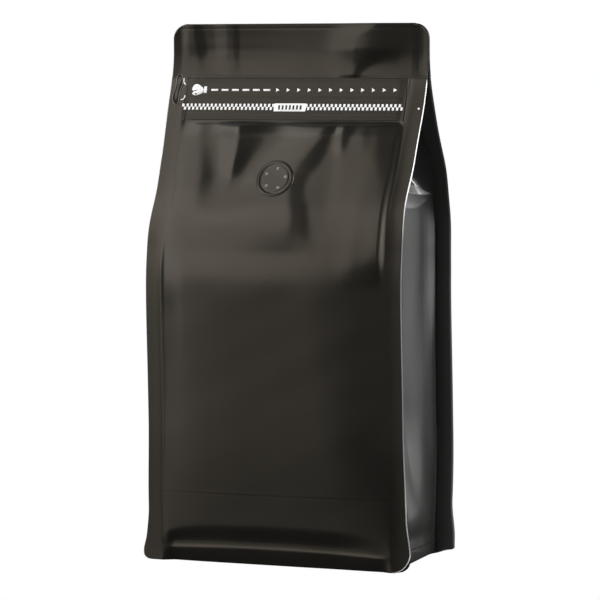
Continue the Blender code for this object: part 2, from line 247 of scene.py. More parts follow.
def reliefOf(strips, across, low, high, settle=None):
    # sums the strips' steepness on a fine grid, adds it up from left to right, and reads heights off that;
    # what is left over at the right fades out between the two places in settle
    xs = np.linspace(-across, across, 421)
    zs = np.linspace(low, high, 181)

    def ease(t):
        t = np.clip(t, 0.0, 1.0)
        return t * t * (3 - 2 * t)

    steep = np.zeros((len(zs), len(xs)))
    for (first, last), rows in strips.values():
        rows = np.array(rows[::-1], float)
        start, end, slope = (np.interp(zs, rows[:, 0], rows[:, axis])[:, None] for axis in (1, 2, 3))
        t = (xs[None, :] - start) / (end - start)
        steep += slope * ease(t / first) * (1 - ease((t - last) / (1 - last)))
    rise = np.cumsum(steep, axis=1) * (xs[1] - xs[0])
    if settle:
        first, last = settle
        rise -= rise[:, -1:] * ease((xs[None, :] - first) / (last - first))
    reach = 1.8  # up and down, over which the rows are softened
    spread = np.arange(-6, 7) * (zs[1] - zs[0])
    weights = np.exp(-((spread / reach) ** 2))
    padded = np.pad(rise, ((6, 6), (0, 0)), mode="edge")
    rise = sum(weight * padded[row : row + len(zs)] for row, weight in enumerate(weights)) / weights.sum()

    def read(x, z):
        column = min(max((x + across) / (2 * across) * (len(xs) - 1), 0.0), len(xs) - 1.001)
        row = min(max((z - low) / (high - low) * (len(zs) - 1), 0.0), len(zs) - 1.001)
        i, j = int(row), int(column)
        upper = mix(rise[i, j], rise[i, j + 1], column - j)
        return float(mix(upper, mix(rise[i + 1, j], rise[i + 1, j + 1], column - j), row - i))

    return read


leftFolds = reliefOf(leftStrips, 62, 135, 218, (-58, 34))
rightFolds = reliefOf(rightStrips, 62, 135, 218, (-58, 24))
edgeFolds = reliefOf(edgeStrips, 62, 135, 218)
headerLeftFolds = reliefOf(headerLeftStrips, 70, 237, 265, (-48, 12))
headerRightFolds = reliefOf(headerRightStrips, 70, 237, 265, (34, 70))
foldTo = (214.5, 217.2)  # the zipper ends the folds under it


def panelFolds(x, z):
    return (leftFolds(x, z) + rightFolds(x, z) + edgeFolds(x, z)) * (1 - smoothStep(z, *foldTo))


ridge = {
    "height": 0.5,
    "reach": 13,
    "middle": 141,
    "rise": 14,  # it lies this much higher at the right
    "riseAcross": (20, 58),
}
swell = {  # the filling pushes out most at the left, under the ridge
    "by": 1.9,
    "grows": (60, 140),
    "fades": (140, 170),
    "left": (-62, -44),
    "right": (-25, 42),
}
dip = {"by": 0.75, "grows": (209, 217), "fades": (222, 236)}  # along the zipper band


def grown(value, facts):
    return smoothStep(value, *facts["grows"]) * (1 - smoothStep(value, *facts["fades"]))


def shoulderLine(x, z):  # where the filling ends, the film bends back
    middle = ridge["middle"] + ridge["rise"] * smoothStep(x, *ridge["riseAcross"])
    across = smoothStep(x, *swell["left"]) * (1 - smoothStep(x, *swell["right"]))
    pushed = swell["by"] * across * grown(z, swell)
    return ridge["height"] * bump(z, middle, ridge["reach"]) + pushed - dip["by"] * grown(z, dip)


foot = {
    "seamHeight": 6.6,  # of the seam that joins the bottom, at its ends
    "seamArch": 1.5,
    "hollow": 1.9,
    "hollowRight": 0.75,  # this share of the hollow is lost towards the right
    "hollowFades": (28, 56),
    "hollowLow": 1.8,  # above the seam
    "hollowTop": 12.5,
    "hollowDroop": 0.35,
    "lip": 0.5,
    "skirt": 2.2,
    "endPast": 1.5,  # the relief ends this far into the fins
    "endFade": 7,
    "crease": 35.4,
    "creaseSlope": 1 / 160,
    "creaseDepth": 0.03,
}


def footRelief(x, z):
    share = min(abs(x / sealLine(0)), 1.0)
    seam = foot["seamHeight"] + foot["seamArch"] * (1 - share**2)
    inside = smoothStep(sealLine(0) + foot["endPast"] - abs(x), 0, foot["endFade"])
    up = z - seam
    hollow = foot["hollow"] * (1 - foot["hollowRight"] * smoothStep(x, *foot["hollowFades"]))
    low, high = foot["hollowLow"], foot["hollowTop"] * (1 - foot["hollowDroop"] * share**6)
    relief = -hollow * (1 - smoothStep(up, low, high))
    if up > 0:
        relief += foot["lip"] * max(1 - up / (low + 1.5), 0.0) ** 2
    else:
        relief += foot["lip"] - foot["skirt"] * (-up / seam) ** 1.2
    return inside * relief


def hollowed(x, z):  # how far the film at the foot stands back
    return max(-footRelief(x, z), 0.0)


wrinkles = {"left": 0.09, "right": 0.03, "at": 7, "reach": 5, "slant": 0.35, "pace": 4.6}


def cornerWrinkles(x, z):
    where = smoothStep(abs(x), sealLine(0) - 2, sealLine(0) + 2) * bump(z, wrinkles["at"], wrinkles["reach"])
    depth = wrinkles["left" if x < 0 else "right"]
    return depth * where * math.sin((abs(x) - wrinkles["slant"] * z) * wrinkles["pace"])


def unevenness(x, z, slowRise=0.10, quickRise=0.05):  # film is never quite flat
    slow = math.sin(x / 11.0 + 1.7 * math.sin(z / 29.0)) * math.sin(z / 17.0 + 0.8)
    quick = math.sin(x / 5.1 - z / 8.3) * math.sin(z / 6.7 + x / 19.0)
    return slowRise * slow + quickRise * quick


pressed = {  # lines that the sealing bars and folds leave in the film: depth and reach
    "leftSeal": (0.17, 1.2),
    "leftSealFades": (120, 165),
    "leftSealDeeper": (0.04, 95, 30),
    "rightSeal": (0.10, 0.9),
    "rightSealGrows": (160, 175),
    "sealFrom": (4, 12),
    "sealTo": (236, 240),
    "headerSeal": (0.07, 0.6),
    "headerSealPlace": 62.6,
    "headerFrom": (240, 244),
    "hem": (0.10, 0.45),
    "hemDown": 2.3,
}


def pressedLines(x, z):  # the seal's inner edge, the foot crease and the hem
    if x < 0:
        depth, reach = pressed["leftSeal"]
        more, at, around = pressed["leftSealDeeper"]
        depth = depth * (1 - smoothStep(z, *pressed["leftSealFades"])) + more * bump(z, at, around)
    else:
        depth, reach = pressed["rightSeal"]
        depth *= smoothStep(z, *pressed["rightSealGrows"])
    upright = smoothStep(z, *pressed["sealFrom"]) * (1 - smoothStep(z, *pressed["sealTo"]))
    seal = depth * bump(abs(x), sealLine(z), reach) * upright
    depth, reach = pressed["headerSeal"]
    seal += depth * bump(abs(x), pressed["headerSealPlace"], reach) * smoothStep(z, *pressed["headerFrom"])
    line = foot["crease"] + foot["creaseSlope"] * x
    crease = foot["creaseDepth"] * (bump(z, line + 0.5, 0.5) - bump(z, line - 0.5, 0.5))
    depth, reach = pressed["hem"]
    return crease - seal - depth * bump(z, height - pressed["hemDown"], reach)


headerFrom = (237.5, 240)  # the header's folds start here
foldFrom = (135, 141)  # and the panel's here
bandFlat = (212, 217)  # the zipper holds the film flat from here up


def headerWave(x, z):
    return (headerLeftFolds(x, z) + headerRightFolds(x, z)) * smoothStep(z, *headerFrom) + curl(z)


def finSweep(x, z):
    share = max(abs(x) - sealLine(z), 0.0) / pouch["fin"]
    stiff = 1 if x > 0 else mix(pouch["leftBendLow"], 1, smoothStep(z, *pouch["leftBendGrows"]))
    bend = pouch["finBend"] * (1 - max(1 - share, 0.0) ** 3) * stiff
    return pouch["finSweep"] * share + bend * (1 - smoothStep(z, *pouch["bendFades"]))


def frontFace(x, z):
    inner = smoothStep(sealLine(z) - abs(x), -0.3, 3.0)
    rise = panelFolds(x, z) * smoothStep(z, *foldFrom) + shoulderLine(x, z)
    rise += unevenness(x, z) * (1 - smoothStep(z, *bandFlat))
    rise = rise * inner + footRelief(x, z) + cornerWrinkles(x, z) + pressedLines(x, z) + headerWave(x, z)
    return halfDepth(z) + belly(x, z) + rise - finSweep(x, z)


def frontPoint(x, z, lift=0.0):
    return place(x, -(frontFace(x, z) + lift), z)


backStrips = {
    "leftBand": ((0.3, 0.9), [
        (240, -40, -24, 0.12), (215, -38, -22, 0.14), (195, -36, -19, 0.04), (185, -36, -19, 0)]),
    "leftWedge": ((0.1, 0.3), [
        (240, -24, -4, -0.22), (215, -22, -6, -0.26), (195, -19, -9, -0.10), (185, -18, -10, 0)]),
    "rightBand": ((0.5, 0.9), [
        (240, 6, 24, 0.20), (215, 9, 22, 0.26), (195, 12, 19, 0.08), (182, 12, 19, 0)]),
    "rightWedge": ((0.1, 0.4), [
        (240, 24, 40, -0.18), (215, 22, 37, -0.20), (195, 19, 33, -0.06), (182, 19, 33, 0)]),
}
backFolds = reliefOf(backStrips, 62, 135, 245)
backGrowth = {"grows": (150, 180), "fades": (238, 244)}


def backFace(x, z):
    inner = smoothStep(sealLine(z) - abs(x), -0.3, 3.0)
    rise = backFolds(x, z) * grown(z, backGrowth)
    rise = (rise + unevenness(x + 40, z)) * inner + footRelief(x, z) + pressedLines(x, z) - headerWave(x, z)
    return halfDepth(z) + belly(x, z) + rise - rearSweep(x, z)


def rearSweep(x, z):  # the rear fins curl away from the back
    return finSweep(x, z) - pouch["rearCurl"] * max((abs(x) - sealLine(z)) / pouch["rearFin"], 0.0) ** 2


def footLift(x, y):
    corner = smoothStep(abs(x), 35, sealLine(0)) * pouch["rearFootRise"]
    tip = smoothStep(abs(x), sealLine(0) - 2, sealLine(0) + pouch["fin"]) * pouch["rearTipRise"]
    return (corner + tip) * smoothStep(y, -5, openDepth - pouch["footTuck"])


def raised(x, y, z):  # the trimmed lower edge follows footLift, and the rest eases back to level
    return z + footLift(x, y) * max(1 - z / pouch["rearRiseTop"], 0.0) ** 2


def backPoint(x, z):
    y = backFace(x, z)
    return place(x, y, raised(x, y, z))


gusset = {
    "fold": 29.5,
    "apex": 196.5,  # top of the flat side, where it starts to fold in
    "fall": 0.5,
    "turn": 12,
    "sunk": 10.5,  # the middle of the side is drawn in
    "sunkTop": 75,
    "facet": 7.0,  # a narrow facet under the fold, widest in the middle
    "facetSlope": 0.46,
    "lowerFacet": 9.0,
    "lowerSlope": 0.15,
    "flare": 1.6,  # out to the rear fin
    "flareReach": 7,
    "flareGrows": (90, 140),
    "hem": 0.15,  # the bottom's film laps up the side this much per mm from the rear
    "hemHigh": 7.5,
    "hemRecess": 0.2,
    "groove": (2.0, 10.5, 4.5),  # above the foot, with a swell over it: depth, height and reach
    "swell": (0.5, 23, 6),
    "slowWave": 0.22,
    "quickWave": 0.12,
    "wavesFrom": (20, 45),
    "wavesTo": (-30, 0),
    "creasePlace": 14.5,
    "creaseDeep": 0.22,
    "creaseReach": 1.5,
    "grows": (35, 60),  # the crease, which fades higher up
    "fades": (130, 165),
}


def gussetFace(y, z):  # outer surface of the right gusset
    reach = halfDepth(z) - pouch["finThick"]
    across = min(abs(y) / reach, 1.0)
    opened = min(halfDepth(z) / openDepth, 1.0)
    above = z - (gusset["apex"] - gusset["fall"] * abs(y))
    fold = gusset["fold"] * math.sqrt(max(1 - opened**2, 0.0)) * (1 - across)
    turned = min(max(above / gusset["turn"], 0.0), 1.0)
    fold *= 1 - (1 - turned) ** 2
    wide = gusset["facet"] * (1 - across**3)
    fold += gusset["facetSlope"] * min(max(above + wide, 0.0), wide)
    lower = gusset["lowerFacet"] * (1 - across**3)
    fold += gusset["lowerSlope"] * min(max(above + wide + lower, 0.0), lower)
    sunk = gusset["sunk"] * smoothStep(z, 0, gusset["sunkTop"]) * (1 - across**1.3)
    waves = gusset["slowWave"] * math.sin(y / 5.2 + 1.3 * math.sin(z / 31) + 0.6)
    waves += gusset["quickWave"] * math.sin(y / 2.9 - 1.1 * math.sin(z / 23 + 1.0))
    waves *= smoothStep(z, *gusset["wavesFrom"]) * (1 - smoothStep(above, *gusset["wavesTo"]))
    waves -= gusset["creaseDeep"] * bump(y, gusset["creasePlace"], gusset["creaseReach"]) * grown(z, gusset)
    (deep, grooveAt, grooveReach), (proud, swellAt, swellReach) = gusset["groove"], gusset["swell"]
    low = deep * bump(z, grooveAt, grooveReach) - proud * bump(z, swellAt, swellReach)
    inset = (pouch["rearFin"] - pouch["fin"]) * (1 + y / reach) / 2  # the rear seal is wider
    near = max(y - reach + gusset["flareReach"], 0.0) / gusset["flareReach"]
    flare = gusset["flare"] * near**2 * mix(0.5, 1, smoothStep(z, *gusset["flareGrows"]))
    hem = min(gusset["hem"] * (reach - y), gusset["hemHigh"])
    under = gusset["hemRecess"] * (1 - min(max(z / max(hem, 0.1), 0.0), 1.0)) ** 0.8 * min(hem / 5, 1.0)
    return sealLine(z) - inset - fold - sunk + (waves - low) * (1 - across**4) + flare - under


# films and print
def setInputs(node, values):
    for name, value in values.items():
        node.inputs[name].default_value = value


def newMaterial(name):
    made = bpy.data.materials.new(name)
    made.use_nodes = True
    return made, made.node_tree.nodes, made.node_tree.links, made.node_tree.nodes["Principled BSDF"]


def grainGroup():
    # fine dimples and slow drifts of tone that every film of the pouch has
    tree = bpy.data.node_groups.new("filmGrain", "ShaderNodeTree")
    for way, name, kind in (("INPUT", "Tone", "Color"), ("INPUT", "Second Tone", "Color"), ("INPUT", "Gloss", "Float"),
                            ("INPUT", "Gloss Drift", "Float"), ("INPUT", "Dimple Height", "Float"),
                            ("OUTPUT", "Colour", "Color"), ("OUTPUT", "Roughness", "Float"),
                            ("OUTPUT", "Normal", "Vector")):
        tree.interface.new_socket(name, in_out=way, socket_type="NodeSocket" + kind)
    nodes, links = tree.nodes, tree.links
    inputs, outputs = nodes.new("NodeGroupInput"), nodes.new("NodeGroupOutput")
    where = nodes.new("ShaderNodeTexCoord")
    drift, slow, dimples = (nodes.new("ShaderNodeTexNoise") for _ in range(3))
    for texture, scale, detail in ((drift, 28, 4), (slow, 90, 3), (dimples, 1500, 2)):
        setInputs(texture, {"Scale": scale, "Detail": detail})
        links.new(where.outputs["Object"], texture.inputs["Vector"])
    blend = nodes.new("ShaderNodeMix")
    blend.data_type = "RGBA"
    links.new(drift.outputs["Fac"], blend.inputs["Factor"])
    links.new(inputs.outputs["Tone"], blend.inputs["A"])
    links.new(inputs.outputs["Second Tone"], blend.inputs["B"])
    links.new(blend.outputs["Result"], outputs.inputs["Colour"])
    centred = nodes.new("ShaderNodeMath")
    centred.operation = "SUBTRACT"
    centred.inputs[1].default_value = 0.5
    links.new(slow.outputs["Fac"], centred.inputs[0])
    scaled = nodes.new("ShaderNodeMath")
    scaled.operation = "MULTIPLY_ADD"
    links.new(centred.outputs[0], scaled.inputs[0])
    links.new(inputs.outputs["Gloss Drift"], scaled.inputs[1])
    links.new(inputs.outputs["Gloss"], scaled.inputs[2])
    links.new(scaled.outputs[0], outputs.inputs["Roughness"])
    bumps = nodes.new("ShaderNodeBump")
    bumps.inputs["Distance"].default_value = 0.0001
    links.new(inputs.outputs["Dimple Height"], bumps.inputs["Strength"])
    links.new(dimples.outputs["Fac"], bumps.inputs["Height"])
    links.new(bumps.outputs["Normal"], outputs.inputs["Normal"])
    return tree


grain = grainGroup()


def filmMaterial(name, tone, secondTone, gloss, drift=0.06, dimples=0.12, tint=(1, 1, 1), level=0.5):
    made, nodes, links, shader = newMaterial(name)
    group = nodes.new("ShaderNodeGroup")
    group.node_tree = grain
    setInputs(group, {"Tone": (*tone, 1), "Second Tone": (*secondTone, 1), "Gloss": gloss, "Gloss Drift": drift,
                      "Dimple Height": dimples})
    for given, taken in (("Colour", "Base Color"), ("Roughness", "Roughness"), ("Normal", "Normal")):
        links.new(group.outputs[given], shader.inputs[taken])
    setInputs(shader, {"Specular Tint": (*tint, 1), "Specular IOR Level": level})
    return made


warmTint = (1.0, 0.87, 0.70)
matteFilm = filmMaterial("matteFilm", (0.0085, 0.0083, 0.0074), (0.0105, 0.0100, 0.0090), 0.30, tint=warmTint)
bandFilm = filmMaterial("bandFilm", (0.0085, 0.0081, 0.0073), (0.0105, 0.0100, 0.0089), 0.32, tint=warmTint, level=0.35)
gussetFilm = filmMaterial("gussetFilm", (0.0150, 0.0156, 0.0145), (0.0190, 0.0196, 0.0185), 0.24, level=0.8)
# the bottom's film where it laps up the side, drawn darker and far less glossy than that film: painted shade
hemFilmShaded = filmMaterial("hemFilmShaded", (0.0070, 0.0070, 0.0064), (0.0090, 0.0090, 0.0082), 0.42, level=0.12)
# a lighter copy of the side film for the rear flaps: painted light lifting their shade
flapFilmPaintedLight = filmMaterial("flapFilmPaintedLight", (0.0400, 0.0405, 0.0380), (0.0460, 0.0470, 0.0440), 0.30)
# a copy of the front film that reflects less, for the header: painted shade
headerFilmShaded = filmMaterial("headerFilmShaded", (0.0085, 0.0083, 0.0074), (0.0105, 0.0100, 0.0090), 0.30, tint=warmTint,
                          level=0.36)
rearFilm = filmMaterial("rearFilm", (0.0075, 0.0072, 0.0066), (0.0090, 0.0086, 0.0080), 0.32, tint=warmTint)
cutEdge = filmMaterial("cutEdge", (0.60, 0.60, 0.58), (0.74, 0.74, 0.72), 0.35)
darkEdge = filmMaterial("darkEdge", (0.02, 0.02, 0.019), (0.03, 0.03, 0.028), 0.5)
whitePrintGlowing = filmMaterial("whitePrintGlowing", (0.80, 0.80, 0.79), (0.88, 0.88, 0.87), 0.40, 0.05, 0.05)
# the white print also glows a little: painted light
setInputs(whitePrintGlowing.node_tree.nodes["Principled BSDF"], {"Emission Color": (1, 1, 1, 1), "Emission Strength": 0.3})
darkPrint = filmMaterial("darkPrint", (0.02, 0.02, 0.02), (0.03, 0.03, 0.03), 0.45, 0.05, 0.05)
tabFilm = filmMaterial("tabFilm", (0.0100, 0.0096, 0.0086), (0.0125, 0.0118, 0.0105), 0.30, tint=warmTint)
# light grey bead on the tab's outline: painted highlight of its die-cut edge
tabRimHighlight = filmMaterial("tabRimHighlight", (0.14, 0.14, 0.135), (0.22, 0.22, 0.21), 0.30)
# light grey rims round the valve's vents: painted glint
ventRimGlint = filmMaterial("ventRimGlint", (0.30, 0.30, 0.29), (0.42, 0.42, 0.40), 0.30)


def addRibs(finish, pitch, depth):
    # upright ribs pressed through the film by the zipper's strip
    nodes, links = finish.node_tree.nodes, finish.node_tree.links
    where = nodes.new("ShaderNodeTexCoord")
    ribs = nodes.new("ShaderNodeTexWave")
    ribs.bands_direction = "X"
    setInputs(ribs, {"Scale": 2 * math.pi / (20 * pitch * mm), "Distortion": 0.6, "Detail": 1})
    raised = nodes.new("ShaderNodeBump")
    setInputs(raised, {"Distance": depth * mm, "Strength": 0.6})
    links.new(where.outputs["Object"], ribs.inputs["Vector"])
    links.new(ribs.outputs["Fac"], raised.inputs["Height"])
    shader = nodes["Principled BSDF"]
    links.new(shader.inputs["Normal"].links[0].from_socket, raised.inputs["Normal"])
    links.new(raised.outputs["Normal"], shader.inputs["Normal"])


def addObject(name, data):
    made = bpy.data.objects.new(name, data)
    bpy.context.scene.collection.objects.link(made)
    return made


def finishedMesh(name, builder, materials):
    mesh = bpy.data.meshes.new(name)
    builder.to_mesh(mesh)
    builder.free()
    for finish in materials:
        mesh.materials.append(finish)
    return mesh


# how every piece is made: laid out, given its finish, and set on the one body
def addPiece(name, builder, materials):
    mesh = finishedMesh(name, builder, materials)
    mesh.shade_smooth()
    made = addObject(name, mesh)
    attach(made, "root")
    return made


def thicken(piece, thickness, rimMaterial=0):
    wall = piece.modifiers.new("wall", "SOLIDIFY")
    wall.thickness = thickness * mm
    wall.offset = -1
    wall.material_offset_rim = rimMaterial
    wall.use_even_offset = False


def layGrid(builder, columns, rows, put):
    # a flat grid whose points are laid on the pouch; put takes 0..1 across and up
    made = bmesh.ops.create_grid(builder, x_segments=columns, y_segments=rows, size=1.0)["verts"]
    for vert in made:
        vert.co = put((vert.co.x + 1) / 2, (vert.co.y + 1) / 2)


def laidGrid(columns, rows, put):
    builder = bmesh.new()
    layGrid(builder, columns, rows, put)
    return builder


def faceOutward(builder, outward):
    builder.normal_update()
    if sum(face.normal.dot(outward) * face.calc_area() for face in builder.faces) < 0:
        bmesh.ops.reverse_faces(builder, faces=builder.faces)
    return builder


front, rear, down = Vector((0, -1, 0)), Vector((0, 1, 0)), Vector((0, 0, -1))


def crowded(low, high, marks):
    # a map of 0..1 onto low..high that packs its steps round each mark (place, reach, weight)
    where = np.linspace(low, high, 2001)
    density = np.ones_like(where)
    for middle, reach, weight in marks:
        density += weight * np.exp(-(((where - middle) / reach) ** 2))
    share = np.concatenate([[0.0], np.cumsum((density[1:] + density[:-1]) / 2)])
    share /= share[-1]
    return lambda t: float(np.interp(t, share, where))


rowMarks = [(1, 3, 2.0), (9, 5, 3.0), (34.5, 2.5, 2.5), (217, 2.5, 2.5), (239, 2.5, 2.5), (height - 1, 3.5, 3.0)]
rowPlace = crowded(0, height, rowMarks)
sideRowPlace = crowded(0, height, [(9, 8, 2.0), (182, 12, 2.5), (height - 1, 3.5, 2.0)])
sealShare = 1 - pouch["fin"] / (width / 2)
columnPlace = crowded(-1, 1, [(-sealShare, 0.035, 3.0), (sealShare, 0.035, 3.0), (-0.99, 0.03, 1.0), (0.99, 0.03, 1.0)])


def panel(columns, rows, point, footRadii):
    def put(u, v):
        z = rowPlace(v)
        return point(columnPlace(u) * halfWidth(z, footRadii[u > 0.5]), z)
    return laidGrid(columns, rows, put)


# the zipper band, which the panels need to know of too
band = {
    "left": zipperLow.x / mm,
    "right": zipperHigh.x / mm,
    "low": zipperLow.z / mm,
    "high": zipperHigh.z / mm,
    "film": 0.2,
    "lift": 0.30,
    "edge": 0.8,  # it comes up to that lift over this height
    "clear": 0.05,
    "ends": 5.0,  # its ends fade into the seals over this length
    "rim": (0.30, 0.5),  # a groove along its two long edges, by depth and reach
    "upperLines": [(0.16, 2.3, 0.5), (-0.14, 9.2, 0.5), (0.18, 10.6, 0.7)],  # rise, place from that edge, reach
    "lowerLines": [(0.18, 3.6, 0.5), (-0.14, 2.5, 0.45)],
    "ribPitch": 0.9,
    "ribDepth": 0.06,
}

frontCorners = (pouch["leftFootCorner"], pouch["footCorner"])
frontPanel = addPiece("frontPanel", faceOutward(panel(180, 260, frontPoint, frontCorners), front),
                      [matteFilm, darkEdge, headerFilmShaded])
thicken(frontPanel, pouch["film"], 1)
for face in frontPanel.data.polygons:  # the header is two films sealed together; it takes a copy of the front film that reflects less: painted shade
    if face.center.z > band["high"] * mm - 0.001:
        face.material_index = 2
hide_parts("pouch")
print("front panel")

rearCorners = (pouch["rearFootCorner"], pouch["rearFootCorner"])
backPanel = addPiece("backPanel", faceOutward(panel(110, 200, backPoint, rearCorners), rear),
                     [rearFilm, darkEdge])
thicken(backPanel, pouch["film"], 1)
print("back panel")

flap = 0.10  # share of a gusset's columns that lie in each fin
flapCorners = (pouch["leftFootCorner"], pouch["flapCorner"])


def gussetPoint(side, u, v):
    z = sideRowPlace(v)
    reach = halfDepth(z) - pouch["finThick"]
    if flap <= u <= 1 - flap:
        y = -reach * math.cos(math.pi * (u - flap) / (1 - 2 * flap))
        x = gussetFace(y, z)
        y += hollowed(side * x, z) * max(-y / reach, 0.0) ** 6
    else:
        atFront = u < flap
        y = -reach if atFront else reach
        corners = flapCorners if atFront else rearCorners
        tip = halfWidth(z, corners[side > 0]) - 0.1
        x = mix(tip, max(gussetFace(y, z), 0.5), (u if atFront else 1 - u) / flap)
        y += finSweep(x, z) + hollowed(side * x, z) if atFront else -rearSweep(x, z)
    y -= headerWave(side * x, z)
    return place(side * x, y, raised(x, y, z))


for side, name in ((1, "rightGusset"), (-1, "leftGusset")):
    builder = laidGrid(110, 300, lambda u, v: gussetPoint(side, u, v))
    piece = addPiece(name, faceOutward(builder, Vector((side, 0, 0))), [gussetFilm, darkEdge, flapFilmPaintedLight, hemFilmShaded])
    thicken(piece, pouch["film"], 1)
    for face in piece.data.polygons:
        across, y, z = abs(face.center.x) / mm, face.center.y / mm, face.center.z / mm
        # the rear flaps take the lighter copy of the side film: painted light
        if y > 0 and across > sealLine(z) + 0.5:
            face.material_index = 2
        # faces under the hem line take the darker hem film: painted shade
        elif z < min(gusset["hem"] * (openDepth - y), gusset["hemHigh"]):
            face.material_index = 3
print("gussets")


def bottomPoint(u, v):
    halfX, halfY = sealLine(0) - 1.0, openDepth - pouch["footTuck"] - 2.6
    x, y = (2 * u - 1) * halfX, (2 * v - 1) * halfY
    inset = min(halfX - abs(x), halfY - abs(y))
    return place(x, y, 0.4 + 6.0 * (1 - smoothStep(inset, 0, 10)))


bottomPanel = addPiece("bottomPanel", faceOutward(laidGrid(70, 48, bottomPoint), down), [rearFilm])
thicken(bottomPanel, pouch["film"])
print("bottom panel")

trim = {  # cut edge of the front fins
    "lap": 0.14,  # onto the front face
    "proud": 0.05,  # of that face
    "stand": 0.18,  # past the fin's tip
    "chamfer": 0.20,
    "deep": 0.95,
    "film": 0.08,
    "ends": (234, 243),  # it sinks into the film beside the header
    "sunk": (-0.6, -0.5),  # by this much across and forward
    "arcShare": 0.08,  # of its rows, in each rounded corner
}


def finOutline(side, t):
    # a point (across, up) on the fin's outline and the way outwards there, from the foot corner to the top
    footCorner, topCorner = frontCorners[side > 0], pouch["topCorner"]
    arcShare = trim["arcShare"]
    if t < arcShare:
        turn, (across, up) = -math.pi / 2 * (1 - t / arcShare), footCorner
        z = up * (1 + math.sin(turn))
    elif t > 1 - arcShare:
        turn, (across, up) = math.pi / 2 * (1 - (1 - t) / arcShare), topCorner
        z = height - up * (1 - math.sin(turn))
    else:
        turn, (across, up) = 0.0, (0.0, 1.0)
        z = mix(footCorner[1], height - topCorner[1], (t - arcShare) / (1 - 2 * arcShare))
    edge = halfWidth(z, footCorner) + cornerCut(z, footCorner)
    return edge - across * (1 - math.cos(turn)), z, math.cos(turn), math.sin(turn)


# how white the cut edge is drawn, by height: the film's white core, with painted highlight where it catches light and
# painted shade where it dims
edgeWhiteGlintAndShade = [
    (0, 0.95), (5.5, 0.80), (9, 0.25), (14, 0.15), (22, 0.20), (32, 0.26), (45, 0.18), (65, 0.10), (135, 0.10),
    (160, 0.11), (172, 0.30), (188, 0.78), (205, 0.62), (240, 0.60)]


def shadeByHeight(finish, shades):
    nodes, links = finish.node_tree.nodes, finish.node_tree.links
    where, split, ramp = (nodes.new("ShaderNode" + kind) for kind in ("TexCoord", "SeparateXYZ", "ValToRGB"))
    scaled = nodes.new("ShaderNodeMath")
    scaled.operation = "DIVIDE"
    scaled.inputs[1].default_value = height * mm
    links.new(where.outputs["Object"], split.inputs[0])
    links.new(split.outputs["Z"], scaled.inputs[0])
    links.new(scaled.outputs[0], ramp.inputs["Fac"])
    knots = ramp.color_ramp.elements
    while len(knots) < len(shades):
        knots.new(1.0)
    for knot, (z, shade) in zip(knots, shades):
        knot.position = z / height
        knot.color = (shade, shade, shade * 0.98, 1)
    links.new(ramp.outputs["Color"], nodes["Principled BSDF"].inputs["Base Color"])


# the cut edge's colour comes from that ramp: white core with painted highlight and shade
shadeByHeight(cutEdge, edgeWhiteGlintAndShade)
trimSteps = [  # the five lines along it, by how far past the tip and how far forward they lie
    (-trim["lap"], trim["proud"]), (0.0, trim["proud"]), (trim["stand"], -trim["chamfer"]),
    (trim["stand"], -trim["deep"]), (0.0, -trim["deep"])]


def trimPoint(side, u, v):
    x, z, outX, outZ = finOutline(side, v)
    out, lift = (float(np.interp(u * 4, range(5), [step[axis] for step in trimSteps])) for axis in (0, 1))
    hidden = smoothStep(z, *trim["ends"])
    sunkOut, sunkIn = trim["sunk"]
    out, lift = mix(out, sunkOut, hidden), mix(lift, sunkIn, hidden)
    depth = halfDepth(z) + lift - finSweep(side * x, z) + curl(z)
    return place(side * (x + out * outX), -depth, z + out * outZ)


for side, name in ((1, "rightTrim"), (-1, "leftTrim")):
    builder = laidGrid(4, 240, lambda u, v: trimPoint(side, u, v))
    piece = addPiece(name, faceOutward(builder, Vector((side, -0.3, 0))), [cutEdge])
    thicken(piece, trim["film"])
print("trimmed edges")


def bandLift(x, z):
    down = band["high"] - z
    up = z - band["low"]
    ends = smoothStep(min(x - band["left"], band["right"] - x), 0.0, band["ends"])
    edge = smoothStep(min(down, up), 0.0, band["edge"])
    lines = sum(rise * bump(down, at, reach) for rise, at, reach in band["upperLines"])
    lines += sum(rise * bump(up, at, reach) for rise, at, reach in band["lowerLines"])
    rim, reach = band["rim"]
    rims = rim * (bump(down, 0.0, reach) + bump(up, 0.0, reach))
    return band["clear"] + ends * (edge * (band["lift"] + lines) - rims)


def bandPoint(u, v):
    x = mix(band["left"], band["right"], u)
    z = mix(band["low"], band["high"], v)
    return frontPoint(x, z, bandLift(x, z))


addRibs(bandFilm, band["ribPitch"], band["ribDepth"])
zipperBand = addPiece("zipperBand", faceOutward(laidGrid(160, 110, bandPoint), front), [bandFilm])
thicken(zipperBand, band["film"])
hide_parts("zipper")
print("zipper band")

# print on the band: plain guide marks in white
guide = {
    "arrowRow": band["high"] - 6.3,
    "firstArrow": -9.6,
    "arrowPitch": 5.59,
    "arrows": 12,
    "arrowLong": 1.7,
    "arrowTall": 1.9,
    "dashes": 6,
    "dashLong": 3.6,
    "dashTall": 0.9,
    "checkRow": band["high"] - 14.6,
    "checkLeft": -59.6,
    "checkRight": 57.4,
    "checkPitch": 2.2,
    "checkTall": 1.5,
    "labelMiddle": -1.7,
    "labelLong": 17.0,
    "labelTall": 3.9,
    "labelBars": 7,
    "barPitch": 1.9,
    "barWide": 0.96,
    "barTall": 2.1,
    "printLift": 0.06,
    "print": 0.05,  # its own thickness
    # the painted glint on the right fin
    "dot": (65.2, 0.5),  # place and radius
}
handMark = {
    "middle": -52.6,
    "across": 3.2,
    "tall": 2.7,
    "knuckles": 0.09,
    "gap": (0.42, 200, 0.24),  # depth, way in degrees and reach of the notch between thumb and finger
    "cuff": (3.6, 1.6),  # how far from the middle, and how long
    "cuffTall": (-1.5, 1.7),
    "thumb": (-1.0, -0.3),
}


